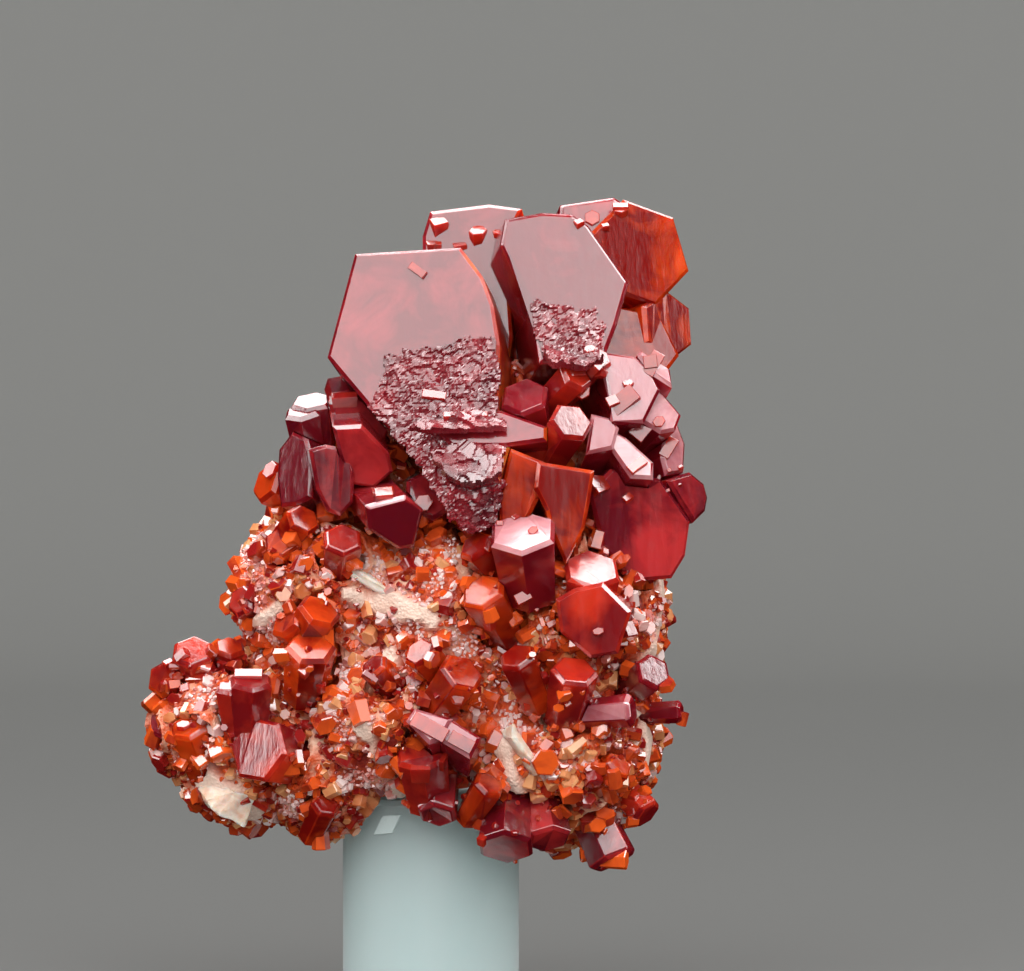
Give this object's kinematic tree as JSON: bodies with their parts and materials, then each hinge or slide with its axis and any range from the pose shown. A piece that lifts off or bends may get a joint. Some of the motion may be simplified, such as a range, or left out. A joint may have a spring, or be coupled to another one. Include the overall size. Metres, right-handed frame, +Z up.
{
  "type": "vanadinite on matrix",
  "caption": "Cluster of hexagonal red vanadinite crystals on druse-covered calcite matrix, standing on a plain clear round post.",
  "frame": {"origin": "centre of the post's flat underside, which the specimen stands on", "axes": "+Z up along the post, +X to the right for someone facing the specimen's best side, which faces -Y"},
  "size_m": [0.0403, 0.0298, 0.0613],
  "materials": {
    "acrylic": "milky clear, faintly blue-green",
    "druse_on_calcite": "rock under a sparkling fine crystal druse",
    "pink_vanadinite": "glassy, with a silvery pink sheen on flat faces",
    "red_vanadinite": "glassy to resinous",
    "amber_vanadinite": "glassy, orange where thin",
    "wine_vanadinite": "resinous and dark"
  },
  "bodies": {
    "root": {"post": "acrylic", "matrix": "druse_on_calcite", "great_left_crystal": "pink_vanadinite", "great_right_crystal": "pink_vanadinite", "right_flank_crystals": "amber_vanadinite", "rear_spine_crystals": "red_vanadinite", "pink_plates": "pink_vanadinite", "lower_pink_plates": "pink_vanadinite", "pink_oval_crystal": "pink_vanadinite", "pale_ended_prism": "red_vanadinite", "white_faced_prisms": "red_vanadinite", "white_topped_prism": "pink_vanadinite", "amber_fans": "amber_vanadinite", "dark_flank_crystals": "wine_vanadinite", "crowned_crystal": "pink_vanadinite", "hexagon_plate": "red_vanadinite", "prism_under_ledges": "amber_vanadinite", "amber_prism_centre": "amber_vanadinite", "stacked_wine_plates": "wine_vanadinite", "upright_wine_crystals": "wine_vanadinite", "white_topped_wine_prisms": "wine_vanadinite", "flat_wine_crystal": "wine_vanadinite", "shadowed_crystal": "wine_vanadinite", "left_amber_prisms": "amber_vanadinite", "left_red_prism": "red_vanadinite", "left_edge_sliver": "amber_vanadinite", "lobe_top_crystal": "red_vanadinite", "lobe_dark_amber_crystal": "amber_vanadinite", "lobe_amber_edge_crystal": "amber_vanadinite", "lobe_white_topped_block": "red_vanadinite", "lobe_large_prism": "red_vanadinite", "lobe_left_crystal": "pink_vanadinite", "lobe_amber_crystal": "amber_vanadinite", "shoulder_amber_crystals": "amber_vanadinite", "twin_pink_prisms": "pink_vanadinite", "low_rounded_crystal": "red_vanadinite", "middle_amber_crystals": "amber_vanadinite", "amber_cap_crystal": "amber_vanadinite", "right_rounded_crystal": "red_vanadinite", "striped_side_prism": "pink_vanadinite", "right_edge_block": "pink_vanadinite", "right_edge_pin": "pink_vanadinite", "hanging_crystal": "wine_vanadinite", "underside_front_crystals": "wine_vanadinite", "underside_dark_crystal": "wine_vanadinite", "underside_right_crystal": "red_vanadinite", "back_upper_crystals": "red_vanadinite", "back_left_crystal": "wine_vanadinite", "back_right_crystal": "amber_vanadinite", "back_middle_crystals": "red_vanadinite", "back_low_crystal": "amber_vanadinite", "lobe_back_crystal": "red_vanadinite", "shoulder_edge_crystal": "red_vanadinite", "belly_left_crystal": "amber_vanadinite", "lobe_low_crystal": "amber_vanadinite", "belly_low_crystal": "amber_vanadinite", "right_low_crystal": "amber_vanadinite"}
  },
  "joints": []
}
